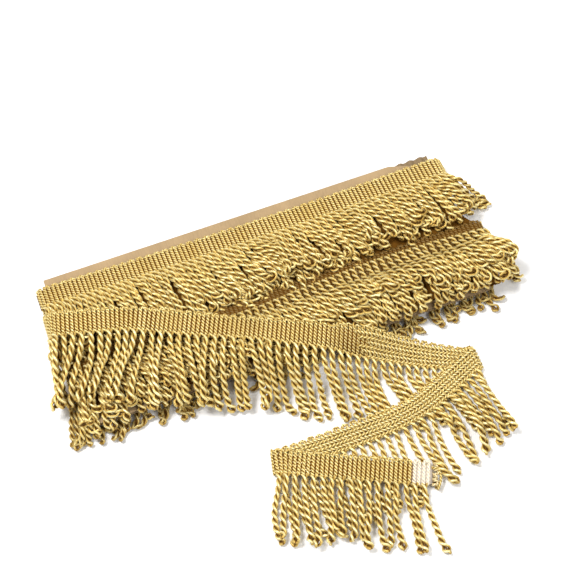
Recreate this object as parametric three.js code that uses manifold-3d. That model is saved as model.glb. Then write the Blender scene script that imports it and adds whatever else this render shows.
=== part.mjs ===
// Knitted bullion fringe trim, wound in two courses round a flat board of
// corrugated kraft card, with its loose end drawn over the front and folded
// back twice on the table. Millimetres, +Z up, +X along the card.
import * as THREE from 'three';
import { mergeVertices } from 'three/addons/utils/BufferGeometryUtils.js';
import Module from 'manifold-3d';

const wasm = await Module();
wasm.setup();

// Driving sizes
const CARD = { length: 266, width: 106, thickness: 3, base: 10 };
const TRIM = { header: 13.75, thickness: 2.2, pitch: 5.63, strand: 46.25 };
const STRAND = { wide: 3.6, high: 3.0, tip: 1.18, root: 0.8 };
const STRIP = 2.4; // width of the strip that carries a loose strand row
const GAP = 0.35; // between touching pieces
const REST = 0.8; // from a strand's underside to the winding below it
const ROOT = 1.5; // how far a strand's root reaches into its strip
const LAYER = STRAND.high + 0.6; // one strand row and its clearance
const FRONT = -CARD.width / 2; // the card's front edge
const SIMPLE = 0.15; // detail that a joined solid may lose

const COURSES = {
  far: { top: 45.5, under: 45.5 },
  near: { top: -7, under: -5 },
};

// The winding's upper face along lines across the card
const PROFILE = [
  { y: 46, left: 15.4, right: 15.4 },
  { y: 31.5, left: 18.2, right: 18.2 },
  { y: 22, left: 20.4, right: 21.0 },
  { y: 10, left: 20.8, right: 22.0 },
  { y: 0, left: 19.4, right: 19.8 },
  { y: -7, left: 16.6, right: 16.6 },
  { y: -20.5, left: 16.8, right: 17.2 },
  { y: -28, left: 18.6, right: 22.6 },
  { y: -37, left: 18.6, right: 24.8 },
  { y: -45, left: 17.2, right: 22.2 },
  { y: -50, left: 15.6, right: 18.4 },
  { y: -53, left: 13.8, right: 14.2 },
];
const SWELL = { from: 20, to: 75 }; // where the near roll grows from left to right
const UNDER = { header: GAP + TRIM.thickness, strands: STRAND.high + 0.5 };
const ENDS = { left: -139, far: 138, near: 146, bend: 6 };
const LUMPS = { high: 0.6, length: 64, slant: 0.35 };

const up = new THREE.Vector3(0, 0, 1);
const rad = THREE.MathUtils.degToRad;
const mix = THREE.MathUtils.lerp;
const step = THREE.MathUtils.smoothstep;

// Value of a table at x, eased between its rows
function tableAt(rows, key, column, x) {
  const sorted = rows[0][key] < rows[rows.length - 1][key] ? rows : [...rows].reverse();
  if (x <= sorted[0][key]) return sorted[0][column];
  for (let i = 1; i < sorted.length; i += 1) {
    if (x > sorted[i][key]) continue;
    const share = (x - sorted[i - 1][key]) / (sorted[i][key] - sorted[i - 1][key]);
    return mix(sorted[i - 1][column], sorted[i][column], share);
  }
  return sorted[sorted.length - 1][column];
}

// Upper face of the winding, lumpy where the fringe lies in layers
function windingTop(x, y) {
  const share = step(x, SWELL.from, SWELL.to);
  const height = mix(tableAt(PROFILE, 'y', 'left', y), tableAt(PROFILE, 'y', 'right', y), share);
  const turn = (2 * Math.PI * (x + LUMPS.slant * y)) / LUMPS.length;
  const inFar = step(y, 0, 10) * (1 - step(y, 22, 31));
  const inNear = step(-y, 24, 30) * (1 - step(-y, 45, 52));
  const lump = Math.sin(turn) + 0.5 * Math.sin(1.6 * turn + 1.3);
  return height + LUMPS.high * lump * (inFar + inNear);
}

function inHeader(y, start) {
  return y <= start + 0.5 && y >= start - TRIM.header - 0.5;
}

function windingBottom(y) {
  const flat = inHeader(y, COURSES.far.under) || inHeader(y, COURSES.near.under);
  return flat ? UNDER.header : UNDER.strands;
}

// Where the straight run ends and the turn round the card's end begins
function straightEnds(y) {
  const share = THREE.MathUtils.clamp((6 - y) / 10, 0, 1);
  const right = mix(ENDS.far, ENDS.near, share);
  return { left: ENDS.left + ENDS.bend, right: right - ENDS.bend };
}

// A point on the winding's skin: t from -1 to 1 along the card, past that round its end
function skin(y, t, side, offset) {
  const ends = straightEnds(y);
  const x = mix(ends.left, ends.right, (THREE.MathUtils.clamp(t, -1, 1) + 1) / 2);
  const high = windingTop(x, y);
  const low = windingBottom(y);
  if (Math.abs(t) <= 1) {
    return new THREE.Vector3(x, y, side > 0 ? high + offset : low - offset);
  }
  const angle = (Math.abs(t) - 1) * Math.PI;
  const half = (high - low) / 2 + offset;
  const out = (ENDS.bend + offset) * Math.sin(angle);
  return new THREE.Vector3(x + Math.sign(t) * out, y, (high + low) / 2 + side * half * Math.cos(angle));
}

// Height of the skin above any place, with a clearance, and the table past its ends
function skinHeight(x, y, clearance) {
  if (y > PROFILE[0].y + clearance || y < FRONT - clearance) return 0;
  const ends = straightEnds(y);
  const past = Math.max(ends.left - x, x - ends.right, 0);
  const high = windingTop(THREE.MathUtils.clamp(x, ends.left, ends.right), y);
  const reach = ENDS.bend + clearance;
  if (past >= reach) return 0;
  const middle = (high + windingBottom(y)) / 2;
  return middle + (high - middle + clearance) * Math.sqrt(1 - (past / reach) ** 2);
}

// Closed solid through rings of equal counts, each ring in order round its section
function loft(rings) {
  const count = rings[0].length;
  const points = rings.flat();
  const triangles = [];
  for (let i = 0; i + 1 < rings.length; i += 1) {
    for (let j = 0; j < count; j += 1) {
      const a = i * count + j;
      const b = i * count + ((j + 1) % count);
      triangles.push([a, b, a + count], [b, b + count, a + count]);
    }
  }
  const last = (rings.length - 1) * count;
  for (let j = 1; j + 1 < count; j += 1) {
    triangles.push([0, j + 1, j], [last, last + j, last + j + 1]);
  }
  let volume = 0;
  for (const [a, b, c] of triangles) {
    volume += points[a].dot(new THREE.Vector3().crossVectors(points[b], points[c]));
  }
  const index = triangles.flatMap(([a, b, c]) => (volume > 0 ? [a, b, c] : [a, c, b]));
  const geometry = new THREE.BufferGeometry().setFromPoints(points);
  geometry.setIndex(index);
  return geometry;
}

function toSolid(geometry) {
  const bare = geometry.clone();
  bare.deleteAttribute('normal');
  bare.deleteAttribute('uv');
  const merged = mergeVertices(bare, 1e-4);
  return new wasm.Manifold(new wasm.Mesh({
    numProp: 3,
    vertProperties: new Float32Array(merged.attributes.position.array),
    triVerts: new Uint32Array(merged.index.array),
  }));
}

function toGeometry(solid) {
  const mesh = solid.getMesh();
  const geometry = new THREE.BufferGeometry();
  geometry.setAttribute('position', new THREE.BufferAttribute(new Float32Array(mesh.vertProperties), 3));
  geometry.setIndex(new THREE.BufferAttribute(new Uint32Array(mesh.triVerts), 1));
  geometry.computeVertexNormals();
  return geometry;
}

function join(geometries) {
  return toGeometry(wasm.Manifold.union(geometries.map(toSolid)).asOriginal().simplify(SIMPLE));
}

// The winding: a sleeve round the card, lofted across it and slotted for it
const SLEEVE = {
  lines: [46, 31.5, 27, 22, 16, 10, 6, 0, -4, -7, -18.75, -20.5, -24, -28, -32.5, -37, -41, -45, -50, -52.5],
  along: 21,
  round: 5,
};

function sleeveRing(y) {
  const ring = [];
  for (const side of [1, -1]) {
    for (let i = 0; i < SLEEVE.along; i += 1) {
      ring.push(skin(y, side * mix(-1, 1, i / (SLEEVE.along - 1)), side, 0));
    }
    for (let i = 1; i < SLEEVE.round; i += 1) {
      ring.push(skin(y, side * (1 + i / SLEEVE.round), side, 0));
    }
  }
  const half = Math.floor(SLEEVE.round / 2); // starts on the round end, for a sound cap
  return [...ring.slice(-half), ...ring.slice(0, -half)];
}

function makeWinding() {
  const body = toSolid(loft(SLEEVE.lines.map(sleeveRing)));
  const slot = new THREE.BoxGeometry(CARD.length + 2 * GAP, 2 * CARD.width, CARD.thickness + 2 * GAP);
  slot.translate(0, 0, CARD.base + CARD.thickness / 2);
  return toGeometry(body.subtract(toSolid(slot)).asOriginal().simplify(SIMPLE));
}

// One strand of three sides, through stations that rest on what lies beneath
function strandSolid(stations) {
  const rings = stations.map(({ at, along, size }) => {
    const across = new THREE.Vector3().crossVectors(up, along).normalize();
    const rise = new THREE.Vector3().crossVectors(along, across).normalize();
    const half = (STRAND.wide / 2) * size;
    return [
      at.clone().addScaledVector(across, half),
      at.clone().addScaledVector(across, -half),
      at.clone().addScaledVector(rise, STRAND.high * Math.min(size, 1)),
    ];
  });
  return loft(rings);
}

// Walks a strand from its root over whatever the cover function gives
function walkStrand(root, heading, length, cover, { steps = 6, fall = 50, turn = 0 } = {}) {
  const places = [root.clone()];
  const size = length / steps;
  let angle = heading;
  for (let i = 0; i < steps; i += 1) {
    const here = places[i];
    const drop = size * Math.sin(rad(Math.min(fall, 16 * (i + 1))));
    const flat = new THREE.Vector3(Math.cos(rad(angle)), Math.sin(rad(angle)), 0);
    let reach = size;
    let next = here.clone();
    for (let pass = 0; pass < 3; pass += 1) {
      next = here.clone().addScaledVector(flat, reach);
      next.z = Math.max(cover(next.x, next.y), here.z - drop);
      reach = Math.sqrt(Math.max(size * size - (next.z - here.z) ** 2, 0.2 * size * size));
    }
    places.push(next);
    angle += turn / 2 ** i;
  }
  for (let pass = 0; pass < 2; pass += 1) {
    for (let i = 0; i < steps; i += 1) {
      let lift = 0;
      for (const share of [0.25, 0.5, 0.75]) {
        const between = places[i].clone().lerp(places[i + 1], share);
        lift = Math.max(lift, cover(between.x, between.y) - between.z);
      }
      if (i > 0) places[i].z += lift;
      places[i + 1].z += lift;
    }
  }
  return places.map((at, i) => {
    const before = places[Math.max(i - 1, 0)];
    const after = places[Math.min(i + 1, steps)];
    const sizes = i === 0 ? STRAND.root : i === steps ? 0.7 : i === steps - 1 ? STRAND.tip : 1;
    return { at, along: after.clone().sub(before).normalize(), size: sizes };
  });
}

// A band of header between two edges, wrapped round the winding's skin
const BAND = { along: 9, past: 0.45, round: 4 };

function wrapBand(start, side) {
  const places = [];
  for (let i = 0; i < BAND.along; i += 1) places.push(mix(-1, 1, i / (BAND.along - 1)));
  for (let i = 1; i <= BAND.round; i += 1) {
    const past = 1 + (BAND.past * i) / BAND.round;
    places.push(past);
    places.unshift(-past);
  }
  const edges = [start, start - TRIM.header];
  return loft(places.map((t) => [
    skin(edges[0], t, side, GAP),
    skin(edges[1], t, side, GAP),
    skin(edges[1], t, side, GAP + TRIM.thickness),
    skin(edges[0], t, side, GAP + TRIM.thickness),
  ]));
}

function farTopCover(x, y) {
  const overHeader = y < COURSES.near.top + 2 ? GAP + TRIM.thickness + 0.5 : REST;
  return skinHeight(x, y, overHeader + (x > 126 ? 1 : 0));
}

function nearTopCover(x, y) {
  return skinHeight(x, y, REST + (x > 134 ? 0.8 : 0));
}

// How each wound row of strands lies: its lean, and how it fans out at the card's right end
const ROWS = {
  far: { lean: 12, fan: 34, from: 100, steps: 5 },
  near: { lean: 10, fan: 22, from: 112, steps: 6 },
};

function makeTopFringe(course) {
  const start = COURSES[course].top;
  const row = ROWS[course];
  const cover = course === 'far' ? farTopCover : nearTopCover;
  const low = start - TRIM.header;
  const ends = straightEnds(low);
  const solids = [wrapBand(start, 1)];
  const count = Math.floor((ends.right - ends.left + 4) / TRIM.pitch);
  for (let i = 0; i <= count; i += 1) {
    const x = ends.left - 1 + i * TRIM.pitch;
    const root = new THREE.Vector3(x, low + ROOT, skinHeight(x, low + ROOT, GAP) + 0.2);
    const spread = step(x, row.from, ends.right) ** 2;
    const uneven = 1.6 * Math.sin(2.3 * i) + 2 * Math.sin(0.9 * i);
    const heading = -90 + row.lean + row.fan * spread + uneven;
    const length = TRIM.strand * (1 - 0.03 * (1 + Math.sin(1.7 * i)));
    solids.push(strandSolid(walkStrand(root, heading, length, cover, { steps: row.steps })));
  }
  return join(solids);
}

// The rows that the winding rests on: flat on the table
function makeUnderFringe(course, length) {
  const start = COURSES[course].under;
  const low = start - TRIM.header;
  const ends = straightEnds(low);
  const solids = [wrapBand(start, -1)];
  const count = Math.floor((ends.right - ends.left) / TRIM.pitch);
  for (let i = 0; i <= count; i += 1) {
    const root = new THREE.Vector3(ends.left + i * TRIM.pitch, low + ROOT, 0);
    const uneven = 1.6 * Math.sin(1.9 * i) + 2 * Math.sin(0.7 * i + 1);
    const reach = length * (1 - 0.04 * (1 + Math.sin(2.6 * i)));
    const stations = walkStrand(root, -90 - 10 + uneven, reach, () => 0, { steps: 2 });
    solids.push(strandSolid(stations));
  }
  return join(solids);
}

// The loose end's three runs in plan: how far each goes, how its header heads, how its strands lie
const RUNS = [
  {
    name: 'a', face: 1, length: 262,
    heading: [{ at: 0, angle: -15 }, { at: 36, angle: -15 }, { at: 52, angle: -25.5 }],
    strands: [{ at: 0, angle: -124 }, { at: 80, angle: -113 }, { at: 150, angle: -99 },
      { at: 205, angle: -82 }, { at: 262, angle: -70 }],
  },
  {
    name: 'b', face: -1, length: 145,
    heading: [{ at: 0, angle: 203 }, { at: 30, angle: 203 }, { at: 75, angle: 180 }, { at: 145, angle: 179 }],
    strands: [{ at: 0, angle: -78 }, { at: 40, angle: -87 }, { at: 62, angle: -82 },
      { at: 100, angle: -92 }, { at: 145, angle: -95 }],
  },
  {
    name: 'c', face: 1, length: 97,
    heading: [{ at: 0, angle: 334.5 }],
    strands: [{ at: 0, angle: -110 }, { at: 60, angle: -107 }, { at: 97, angle: -90 }],
  },
];
const LOOSE = { x: -134, y: 13, section: 9.5, bend: 1.95 };
const TURN = { x: -132, z: 12.6, wide: 9.2, high: 15.2, slant: 15, angles: [100, 80, 60, 40, 20] };

// Strands that hang from the turn, clear of the winding's end
const HANGING = { sections: [0, 2], heading: -140, turn: 26, fall: 40 };

// Rows of strands hide the table from what lies over them
function underCover(x, y) {
  const covered = x > -154 && x < 150 && y < -18 && y > -70;
  return covered ? LAYER : 0;
}

function coverFirst(x, y) {
  const overTips = y < -3 && y > -15 ? 2.3 : 0;
  const overRoll = y < -38 ? 1.6 : 0;
  const over = skinHeight(x, y, REST + STRAND.high + 0.7 + overTips + overRoll);
  return Math.max(over, underCover(x, y));
}

function coverSecond(x, y) {
  return y > -97.5 - 0.4 * x ? LAYER + 0.2 : 0;
}

function coverThird(x, y) {
  return x > -44 && x < 66 && y > -171 ? LAYER + 0.2 : 0;
}

const COVERS = [coverFirst, coverSecond, coverThird];

function plan(angle) {
  return new THREE.Vector3(Math.cos(rad(angle)), Math.sin(rad(angle)), 0);
}

// Lets a taut band bridge the hollows in what it lies on
function settle(heights) {
  let level = heights;
  for (let pass = 0; pass < 7; pass += 1) {
    level = level.map((height, i) => {
      if (i === 0 || i === level.length - 1) return height;
      return Math.max(height, (level[i - 1] + level[i + 1]) / 2);
    });
  }
  return level;
}

// Sections of one run, as the middle surface's upper and lower edge points and its face's normal
function layRun(run, start, first, last, base, cover) {
  const count = Math.round(run.length / LOOSE.section);
  const size = run.length / count;
  const sections = [];
  const here = start.clone();
  for (let i = 0; i <= count; i += 1) {
    const heading = tableAt(run.heading, 'at', 'angle', i * size);
    const square = heading + 90 * run.face;
    const across = (i === 0 ? first : i === count ? last : null) ?? square;
    const half = TRIM.header / Math.cos(rad(across - square)) / 2;
    const edges = [1, -1].map((side) => here.clone().addScaledVector(plan(across), side * half));
    sections.push({ at: i * size, edges, heading });
    here.addScaledVector(plan(tableAt(run.heading, 'at', 'angle', (i + 0.5) * size)), size);
  }
  for (const side of [0, 1]) {
    const heights = settle(sections.map(({ edges, heading }, i) => {
      if (i === 0 && base !== null) return base;
      const near = [-0.5, 0, 0.5].map((share) => edges[side].clone().addScaledVector(plan(heading), share * size));
      return Math.max(...near.map((place) => cover(place.x, place.y)));
    }));
    sections.forEach(({ edges }, i) => { edges[side].z = heights[i] + TRIM.thickness / 2; });
  }
  return sections.map(({ at, edges, heading }) => {
    const across = edges[0].clone().sub(edges[1]);
    const normal = new THREE.Vector3().crossVectors(plan(heading), across).normalize();
    return { at, top: edges[0], low: edges[1], normal, middle: edges[0].clone().lerp(edges[1], 0.5) };
  });
}

// The bend of a fold: the band goes up and over along the crease
function layFold(section, heading, face) {
  const crease = section.top.clone().sub(section.low).setZ(0).normalize();
  const out = plan(heading).addScaledVector(crease, -plan(heading).dot(crease)).normalize();
  return [45, 90, 135].map((angle) => {
    const shift = out.clone().multiplyScalar(LOOSE.bend * Math.sin(rad(angle)));
    shift.z = LOOSE.bend * (1 - Math.cos(rad(angle)));
    const normal = up.clone().multiplyScalar(Math.cos(rad(angle)));
    normal.addScaledVector(out, -Math.sin(rad(angle))).multiplyScalar(face);
    return { top: section.top.clone().add(shift), low: section.low.clone().add(shift), normal };
  });
}

// The turn round the winding's left end, from which the loose end comes
function layTurn(section) {
  const half = TRIM.header / 2;
  return TURN.angles.map((angle) => {
    const sin = Math.sin(rad(angle));
    const cos = Math.cos(rad(angle));
    const away = (TURN.wide + TURN.high) * 0.5 * rad(angle);
    const middle = new THREE.Vector3(
      TURN.x - TURN.wide * sin,
      section.middle.y + away * Math.sin(rad(TURN.slant)),
      TURN.z + TURN.high * cos,
    );
    const across = new THREE.Vector3(
      Math.sin(rad(TURN.slant)) * cos,
      Math.cos(rad(TURN.slant)),
      Math.sin(rad(TURN.slant)) * sin,
    );
    return {
      top: middle.clone().addScaledVector(across, half),
      low: middle.clone().addScaledVector(across, -half),
      normal: new THREE.Vector3(-sin, 0, cos),
    };
  });
}

function layLooseEnd() {
  const headings = RUNS.map(({ heading }) => [heading[0].angle, heading[heading.length - 1].angle]);
  const creases = [0, 1].map((i) => ((headings[i][1] + headings[i + 1][0]) / 2) % 180);
  const runs = [];
  let start = new THREE.Vector3(LOOSE.x, LOOSE.y, 0);
  let base = null;
  RUNS.forEach((run, i) => {
    const sections = layRun(run, start, creases[i - 1] ?? null, creases[i] ?? null, base, COVERS[i]);
    const end = sections[sections.length - 1];
    start = end.middle.clone();
    base = end.top.z - TRIM.thickness / 2 + 2 * LOOSE.bend;
    const fold = i < 2 ? layFold(end, headings[i][1], run.face) : [];
    runs.push({ run, sections, fold, turn: i === 0 ? layTurn(sections[0]) : [] });
  });
  return runs;
}

// A strip of the band between two shares of its width
function bandStrip(sections, from, to) {
  const half = TRIM.thickness / 2;
  return loft(sections.map(({ top, low, normal }) => {
    const a = top.clone().lerp(low, from);
    const b = top.clone().lerp(low, to);
    return [
      a.clone().addScaledVector(normal, half),
      b.clone().addScaledVector(normal, half),
      b.clone().addScaledVector(normal, -half),
      a.clone().addScaledVector(normal, -half),
    ];
  }));
}

const HEADER_SHARE = (TRIM.header - STRIP - GAP) / TRIM.header;
const STRIP_SHARE = (TRIM.header - STRIP) / TRIM.header;

function makeLooseHeader(runs) {
  const sections = runs.flatMap(({ turn, sections: own, fold }) => [...turn, ...own, ...fold]);
  return bandStrip(sections, 0, HEADER_SHARE);
}

function makeLooseFringe({ run, sections, turn }, cover) {
  const trimmed = sections.map((section) => ({ ...section }));
  for (const [end, next] of [[0, 1], [sections.length - 1, sections.length - 2]]) {
    if (end === 0 && turn.length > 0) continue;
    for (const edge of ['top', 'low']) {
      trimmed[end][edge] = sections[end][edge].clone().lerp(sections[next][edge], 0.2);
    }
  }
  const strip = [...turn, ...trimmed];
  const solids = [bandStrip(strip, STRIP_SHARE, 1)];
  const inset = ROOT * 0.6;
  for (const i of turn.length > 0 ? HANGING.sections : []) {
    const root = turn[i].low.clone().lerp(turn[i].top, inset / TRIM.header);
    const hanging = { steps: 6, fall: HANGING.fall, turn: HANGING.turn };
    solids.push(strandSolid(walkStrand(root, HANGING.heading, TRIM.strand, () => 0, hanging)));
  }
  for (let at = TRIM.pitch * 0.7; at < run.length - TRIM.pitch * 0.5; at += TRIM.pitch) {
    const i = trimmed.findIndex((section) => section.at > at) - 1;
    const share = (at - trimmed[i].at) / (trimmed[i + 1].at - trimmed[i].at);
    const top = trimmed[i].top.clone().lerp(trimmed[i + 1].top, share);
    const low = trimmed[i].low.clone().lerp(trimmed[i + 1].low, share);
    const root = low.clone().lerp(top, inset / TRIM.header);
    root.z -= TRIM.thickness / 2 - 0.3;
    const index = Math.round(at / TRIM.pitch);
    const uneven = 2 * Math.sin(2.1 * index) + 1.5 * Math.sin(0.8 * index);
    const heading = tableAt(run.strands, 'at', 'angle', at) + uneven;
    const length = TRIM.strand * (1 - 0.03 * (1 + Math.sin(1.9 * index)));
    solids.push(strandSolid(walkStrand(root, heading, length, cover, { steps: 5, fall: 55 })));
  }
  return join(solids);
}

function mesh(name, geometry, colour, roughness, metalness) {
  const material = new THREE.MeshStandardMaterial({ color: colour, roughness, metalness });
  const piece = new THREE.Mesh(geometry, material);
  piece.name = name;
  return piece;
}

const GOLD = 0xc9a24c;
const KRAFT = 0xc59a68;

const group = new THREE.Group();
const board = new THREE.BoxGeometry(CARD.length, CARD.width, CARD.thickness);
board.translate(0, 0, CARD.base + CARD.thickness / 2);
group.add(mesh('card', board, KRAFT, 0.85, 0));
group.add(mesh('winding', makeWinding(), GOLD, 0.5, 0.2));
group.add(mesh('far_top_fringe', makeTopFringe('far'), GOLD, 0.45, 0.2));
group.add(mesh('near_top_fringe', makeTopFringe('near'), GOLD, 0.45, 0.2));
group.add(mesh('far_under_fringe', makeUnderFringe('far', 37), GOLD, 0.45, 0.2));
group.add(mesh('near_under_fringe', makeUnderFringe('near', TRIM.strand), GOLD, 0.45, 0.2));

const loose = layLooseEnd();
group.add(mesh('loose_header', makeLooseHeader(loose), GOLD, 0.45, 0.2));
loose.forEach((part, i) => {
  group.add(mesh(`loose_fringe_${part.run.name}`, makeLooseFringe(part, COVERS[i]), GOLD, 0.45, 0.2));
});

// The origin is under the middle of the whole, on the table
const middle = new THREE.Box3().setFromObject(group).getCenter(new THREE.Vector3());
for (const piece of group.children) piece.geometry.translate(-middle.x, -middle.y, 0);

export default group;
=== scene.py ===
"""Knitted bullion fringe trim wound on a kraft card, with its loose end folded on the table.

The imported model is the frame. Places on the card are in millimetres from the card's
middle; everything is turned to metres when a mesh is made.
"""
import math

import bmesh
import bpy
import numpy as np
from bpy.props import FloatProperty, FloatVectorProperty, PointerProperty
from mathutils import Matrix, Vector
from mathutils.bvhtree import BVHTree


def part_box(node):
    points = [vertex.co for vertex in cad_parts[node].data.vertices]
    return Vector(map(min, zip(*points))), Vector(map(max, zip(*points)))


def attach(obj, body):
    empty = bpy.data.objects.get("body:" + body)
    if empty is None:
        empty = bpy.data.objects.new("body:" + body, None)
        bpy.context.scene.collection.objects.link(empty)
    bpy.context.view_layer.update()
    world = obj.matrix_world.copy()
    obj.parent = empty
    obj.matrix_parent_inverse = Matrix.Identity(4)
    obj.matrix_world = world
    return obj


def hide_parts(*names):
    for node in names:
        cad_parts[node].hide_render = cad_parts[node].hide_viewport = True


bl_info = {
    "name": "Bullion fringe on a card",
    "version": (1, 0, 0),
    "blender": (4, 5, 0),
    "location": "View3D > Sidebar > Fringe",
    "description": "Builds a knitted bullion fringe trim wound on a kraft card",
    "category": "Add Mesh",
}

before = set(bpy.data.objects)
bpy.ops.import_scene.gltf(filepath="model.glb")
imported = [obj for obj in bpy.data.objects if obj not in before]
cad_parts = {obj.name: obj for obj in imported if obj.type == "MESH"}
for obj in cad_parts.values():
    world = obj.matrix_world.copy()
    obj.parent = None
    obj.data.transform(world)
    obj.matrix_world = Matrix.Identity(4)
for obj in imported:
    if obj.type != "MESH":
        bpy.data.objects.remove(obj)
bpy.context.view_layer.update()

MM = 0.001
UP = np.array([0.0, 0.0, 1.0])
CARD_LOW, CARD_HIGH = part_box("card")
CARD_MIDDLE = np.array([(CARD_LOW.x + CARD_HIGH.x) / 2, (CARD_LOW.y + CARD_HIGH.y) / 2, 0.0])
CARD_SIZE = (CARD_HIGH - CARD_LOW) / MM
CARD_BASE = CARD_LOW.z / MM

HEADER = 13.75  # the header's width
PITCH = 5.63  # from one strand to the next
STRAND = 46.25  # a strand's length
BAND = 2.2  # the header's thickness
LIFT = 0.35  # between the winding and the header on it
CORD = 2.1  # a strand's radius
STRAND_FLOOR = 3.4  # lowest middle line of a strand, so that its loop clears the table
RIB_FLOOR = 1.5  # lowest middle line of a rib
SLIM = 0.92  # thickness of the wound courses' strands, next to the loose end's
INWARD = 4.6  # how far the inner layers lie inside the winding's skin

# What the twisted-cord tree gets for a strand and for a rib of the header
STRAND_CORD = {
    "Step": 0.00115, "Loop": 1.0, "Core": 0.6, "Core step": 0.0028, "Spread": 1.38, "Flatness": 0.7,
}
RIB_CORD = {"Step": 0.0007, "Loop": 0.0, "Core": 0.3, "Core step": 0.004, "Spread": 1.15, "Flatness": 0.5}
LOOP_LENGTH = 7.0  # a strand's end loop, in ply radii, and half its width from the tip
LOOP_SHAPE = ((0.0, 0.0), (0.10, 0.42), (0.26, 0.80), (0.45, 0.84), (0.72, 0.56), (1.0, 0.5))
# The cords' cores count as deep in the crease, so they are painted in full shade
CORE_CREASE = 0.80  # how deep the core counts, between the plies

# The yarns' looks
YARNS = (
    ("yarn", "Gold yarn", {}),
    ("rib", "Header yarn", {"pitch": 9.0}),
    # ground: the header's ground sheet, all in painted shade, a dark sheet in the slits between the ribs
    ("ground", "Header ground in painted shade", {"dark": 1.0, "gloss": 0.0, "depth": 0.95}),
    # deep: the header yarn mostly in painted shade, for the near course's header down in the valley
    ("deep", "Shaded header yarn", {"dark": 0.88, "pitch": 9.0, "gloss": 0.4}),
    # under: the gold yarn partly in painted shade, for the strands under the card
    ("under", "Shaded yarn", {"dark": 0.28, "gloss": 0.7}),
    # core: the inner layers' body, all in painted shade, which shows only in gaps between strands
    ("core", "Inner yarn in painted shade", {"dark": 1.0, "gloss": 0.0, "depth": 1.1}),
)
CREASE = (0.60, 0.77)  # where the shade between the plies starts and is full
BLEACHED = (0.92, 0.86, 0.76, 1.0)

# Tables by place along the card
AT_EDGE = ((0.0, 0.6),)  # how far inside the header's edge a strand starts
NEAR_ROOTS = ((-10.0, 5.5), (30.0, 8.6), (70.0, 10.4), (110.0, 9.3), (146.0, 6.5))
WHOLE = ((0.0, 1.0),)  # the share of its length that a strand has
NEAR_REACH = ((-136.0, 0.98), (-110.0, 0.86), (-60.0, 0.84), (0.0, 0.90), (150.0, 0.93))
FAR_REACH = ((-20.0, 1.0), (30.0, 0.97), (65.0, 0.91), (110.0, 0.91), (145.0, 0.95))

# The wound courses, in the order in which they are laid. A swell is a ridge's far and near
# side and its rise, a fan where it starts and its angle, and the rows below have the
# distance from the ends, the share of the pitch and the strands' length
COURSES = {
    "near": {
        "top": -7.0, "under": -5.0, "bow": 0.0, "sunk": 1.5, "swell": (-15.0, -58.0, 4.0),
        "lean": 12.0, "fan": (118.0, 10.0), "bunched": 1.0, "strand": STRAND, "reach": NEAR_REACH,
        # The near course's header ribs take the header yarn in painted shade
        "roots": NEAR_ROOTS, "raised": 1.3, "ribs": "deep", "under_rows": (6.0, 0.6, STRAND),
    },
    "far": {
        "top": 45.5, "under": 45.5, "bow": 2.2, "sunk": 0.0, "swell": (30.0, -6.0, 2.5),
        "lean": 15.0, "fan": (100.0, 36.0), "bunched": 1.35, "strand": 43.0, "reach": FAR_REACH,
        "roots": AT_EDGE, "raised": 0.0, "ribs": "rib", "under_rows": (14.0, 1.0, 38.0),
    },
}
ENDS = {"left": -139.0, "far": 138.0, "near": 146.0, "bend": 6.0}
FAN_END = 144.0
LEFT_FAN = (-136.0, -85.0, 24.0)  # at the left the strands fan the other way, by this angle
INNER = (15.4, 2.55, (2.3, 4.6, 6.9))  # top and base of the winding, depths of its inner headers

# The layers of strands on a course, the inner first: how far each sinks into what is below it,
# how its tips curl and how unevenly its strands head
LAYERS = (
    {"shift": 0.5, "firmness": 0.5, "curl": 30.0, "sink": 3.4, "slow": 2, "quick": 1.5},
    {"shift": 0.15, "firmness": 0.55, "curl": 90.0, "sink": 3.0, "slow": 5, "quick": 4},
    {"shift": 0.0, "firmness": 0.7, "curl": 115.0, "sink": 1.2, "slow": 5, "quick": 5},
)

# The loose end's runs: how unevenly the strands head, together and each alone, how thick they
# are, the face that is up, the runs above, the strands' length by place and both headings by
# distance
RUNS = {
    "a": {
        "length": 262.0, "strand": 50.5, "uneven": (3.3, 3.0), "slim": 1.06, "face": 1, "roofs": ("b", "c"),
        "share": ((-143.0, 1.09), (-100.0, 1.07), (-60.0, 1.03), (0.0, 1.0)),
        "heading": [(0, -15), (36, -15), (52, -25.5)],
        "strands": [
            (-18, -96), (-4, -102), (4, -120), (62, -114), (70, -97),
            (110, -101), (150, -99), (205, -82), (262, -70),
        ],
    },
    "b": {
        "length": 145.0, "strand": 49.0, "uneven": (4.0, 3.0), "slim": 1.0, "face": -1, "roofs": ("c",),
        "share": WHOLE,
        "heading": [(0, 203), (30, 203), (75, 180), (145, 179)],
        "strands": [(0, -78), (40, -87), (62, -82), (100, -92), (145, -95)],
    },
    "c": {
        "length": 97.0, "strand": 46.5, "uneven": (6.0, 4.5), "slim": 1.0, "face": 1, "roofs": (),
        "share": WHOLE,
        "heading": [(0, 334.5)],
        "strands": [(0, -110), (60, -107), (97, -90)],
    },
}
LOOSE_START = (-134.0, 13.0)
SECTION = 9.5  # from one section of the loose header to the next
FOLD_BEND = 1.95  # half the height of a fold
PROBES = (0.12, 0.68)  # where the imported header's height is read, across its width
BAND_LIFT = 0.9  # the chain rows under the loose header lift it off the table
CHAINS = (0.10, 0.26, 0.42, 0.58, 0.74, 0.90)  # the chain rows' places across the header
PAST_FOLD = 24.0  # how far the chain rows go on past run b's folds
ROWS_FROM = 186.0  # from here on run a has chain rows on its ribs too
TURN = {"x": -132.0, "z": 12.6, "wide": 9.2, "high": 15.2, "slant": 15.0, "angles": (100, 80, 60, 40, 20)}

# Name, place from the target, size and power
LIGHTS = (
    ("Key", (-0.40, 0.10, 1.20), 0.4, 14.9),
    ("Front", (0.45, -0.60, 1.15), 0.5, 5.7),
    ("Back", (0.50, 0.80, 0.90), 0.6, 3.0),
)


def length_property(name, about, default, low, high):
    """A length in metres with its limits."""
    return FloatProperty(name=name, description=about, default=default, min=low, max=high, unit="LENGTH")


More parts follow.
